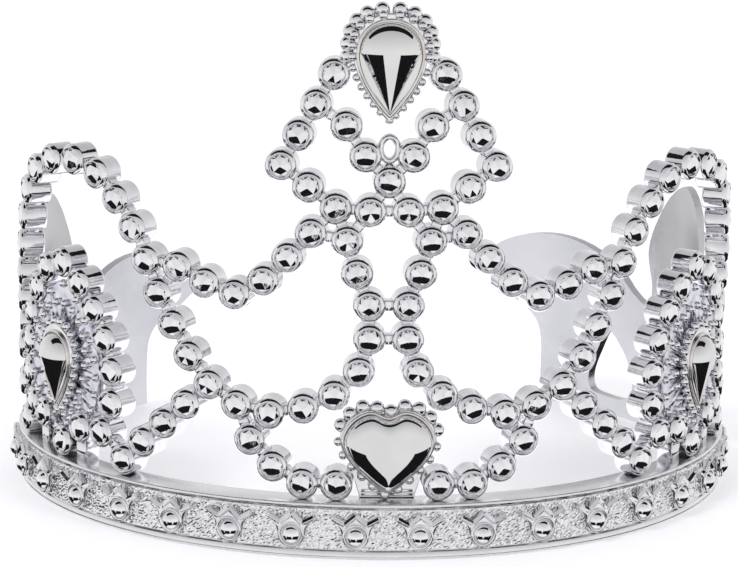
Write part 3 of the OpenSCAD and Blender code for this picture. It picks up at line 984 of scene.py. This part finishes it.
def build_keyhole():
    """A tall oval ring above the lowest bead of the V inside the peak."""
    place = face_place(node_points("peak_keyhole"), 1.2)
    piece = Piece()
    piece.add(*tube(oval(*KEYHOLE, 32), KEYHOLE_WIRE, 14), place @ Matrix.Diagonal((1, 1, KEYHOLE_DEEP, 1)))
    piece.made("peak_keyhole_oval", ["peak_keyhole"], "metallised_plastic", [CHROME])


# ---------------------------------------------------------------- build it
build_chains()
build_stones()
build_band()
build_studs()
build_gems()
build_peak_setting()
build_heart_setting()
build_side_settings()
for side in SIDES:
    softened(f"rear_leaf_{side}")
build_keyhole()


# ---------------------------------------------------------------- floor, light and camera, in metres
MIDDLE = Vector((0, 0, 0.04))
FLOOR_AT = Matrix.Translation((0, 0, -0.0004))
FLOOR_SIZE = 6.0
MIRRORED_FLOOR = (0.070, 0.058)
CARD_BEARINGS = (-152, -95, -30, 39, 95, 152)


def stage_material(name, colour, glow):
    """A matt material that may glow a little."""
    mat = bpy.data.materials.new(name)
    mat.use_nodes = True
    shader = mat.node_tree.nodes["Principled BSDF"]
    shader.inputs["Base Color"].default_value = (*colour, 1)
    shader.inputs["Roughness"].default_value = 0.9
    shader.inputs["Specular IOR Level"].default_value = 0.1
    shader.inputs["Emission Color"].default_value = (1, 1, 1, 1)
    shader.inputs["Emission Strength"].default_value = glow
    return mat


def staged(name, outline, place, material, seen_by):
    """A flat stage piece that only the named kinds of ray meet."""
    mesh = bpy.data.meshes.new(name)
    mesh.from_pydata([(x, y, 0) for x, y in outline], [], [tuple(range(len(outline)))])
    mesh.materials.append(material)
    obj = bpy.data.objects.new(name, mesh)
    obj.matrix_world = place
    obj.visible_camera = "camera" in seen_by
    obj.visible_glossy = "glossy" in seen_by
    obj.visible_diffuse = "diffuse" in seen_by
    obj.visible_shadow = "shadow" in seen_by
    bpy.context.scene.collection.objects.link(obj)


def rectangle(width, height):
    """Corners of a rectangle round its middle."""
    w, h = width / 2, height / 2
    return [(-w, -h), (w, -h), (w, h), (-w, h)]


def around(azimuth, elevation, distance):
    """The point at a bearing from the crown's middle: azimuth 0 is the front, 90 the right."""
    a, e = math.radians(azimuth), math.radians(elevation)
    return MIDDLE + distance * Vector((math.sin(a) * math.cos(e), -math.cos(a) * math.cos(e), math.sin(e)))


def looking(at):
    """A placement at a point whose -Z looks at the crown's middle."""
    at = Vector(at)
    return Matrix.Translation(at) @ (MIDDLE - at).to_track_quat("-Z", "Y").to_matrix().to_4x4()


def card(name, width, height, at):
    """A flat dark card that faces the crown and shows only in what the plating mirrors."""
    staged(name, rectangle(width, height), looking(at), DARK, ("glossy",))


def area_light(name, at, size, power):
    """A soft light that looks at the crown's middle and isn't mirrored itself."""
    light = bpy.data.lights.new(name, "AREA")
    light.shape = "RECTANGLE"
    light.size, light.size_y = size
    light.energy = power
    obj = bpy.data.objects.new(name, light)
    obj.matrix_world = looking(at)
    obj.visible_glossy = False
    bpy.context.scene.collection.objects.link(obj)


WHITE = stage_material("stage_white", (0.86, 0.86, 0.89), 0.30)
DARK = stage_material("stage_dark", (0.008, 0.008, 0.009), 0)
staged("floor", rectangle(FLOOR_SIZE, FLOOR_SIZE), FLOOR_AT, WHITE, ("camera", "diffuse", "shadow"))
# What the plating mirrors of the floor is an oval about as wide as the crown
staged("floor_mirrored", oval(*MIRRORED_FLOOR, 48), FLOOR_AT, WHITE, ("glossy",))
# Low cards all round and one overhead give the cups' shoulders, the gems and the band their darks
for azimuth in CARD_BEARINGS:
    card(f"card_low_{azimuth}", 0.70, 0.50, around(azimuth, -39, 0.8))
card("card_over", 2.6, 0.58, around(0, 82, 0.85))

# The sky is white at the horizon and below it, and a little greyer overhead
world = bpy.data.worlds.new("studio")
bpy.context.scene.world = world
world.use_nodes = True
sky = world.node_tree.nodes
direction = sky.new("ShaderNodeTexCoord")
split = sky.new("ShaderNodeSeparateXYZ")
fade = sky.new("ShaderNodeValToRGB")
fade.color_ramp.elements[0].position = 0.0
fade.color_ramp.elements[0].color = (1.0, 1.0, 1.0, 1)
fade.color_ramp.elements[1].position = 0.9
fade.color_ramp.elements[1].color = (0.60, 0.60, 0.62, 1)
world.node_tree.links.new(direction.outputs["Generated"], split.inputs["Vector"])
world.node_tree.links.new(split.outputs["Z"], fade.inputs["Fac"])
world.node_tree.links.new(fade.outputs["Color"], sky["Background"].inputs["Color"])
sky["Background"].inputs["Strength"].default_value = 0.92
area_light("key", (-0.5, -0.45, 0.8), (0.25, 0.25), 2.4)
area_light("fill", (0.6, -0.5, 0.5), (0.2, 0.3), 1.2)
area_light("back", (0.1, 0.9, 0.6), (0.9, 0.3), 1.6)
bpy.context.scene.view_settings.view_transform = "Standard"

# The camera: its turns in radians, its distance and what it looks at
AZIMUTH = -0.05406
ELEVATION = 0.22933
ROLL = 0.01811
DISTANCE = 0.4610
LOOK_AT = Vector((-0.00099, 0, 0.03628))
LENS = 113.1

level = Vector((math.cos(AZIMUTH), math.sin(AZIMUTH), 0))
tilt = math.sin(ELEVATION)
upright = Vector((-math.sin(AZIMUTH) * tilt, math.cos(AZIMUTH) * tilt, math.cos(ELEVATION)))
cam_x = level * math.cos(ROLL) + upright * math.sin(ROLL)
cam_y = upright * math.cos(ROLL) - level * math.sin(ROLL)
cam_z = cam_x.cross(cam_y)
camera_data = bpy.data.cameras.new("camera")
camera_data.sensor_width = 36
camera_data.lens = LENS
camera = bpy.data.objects.new("camera", camera_data)
rotation = Matrix((cam_x, cam_y, cam_z)).transposed().to_4x4()
camera.matrix_world = Matrix.Translation(LOOK_AT + cam_z * DISTANCE) @ rotation
bpy.context.scene.collection.objects.link(camera)
bpy.context.scene.camera = camera
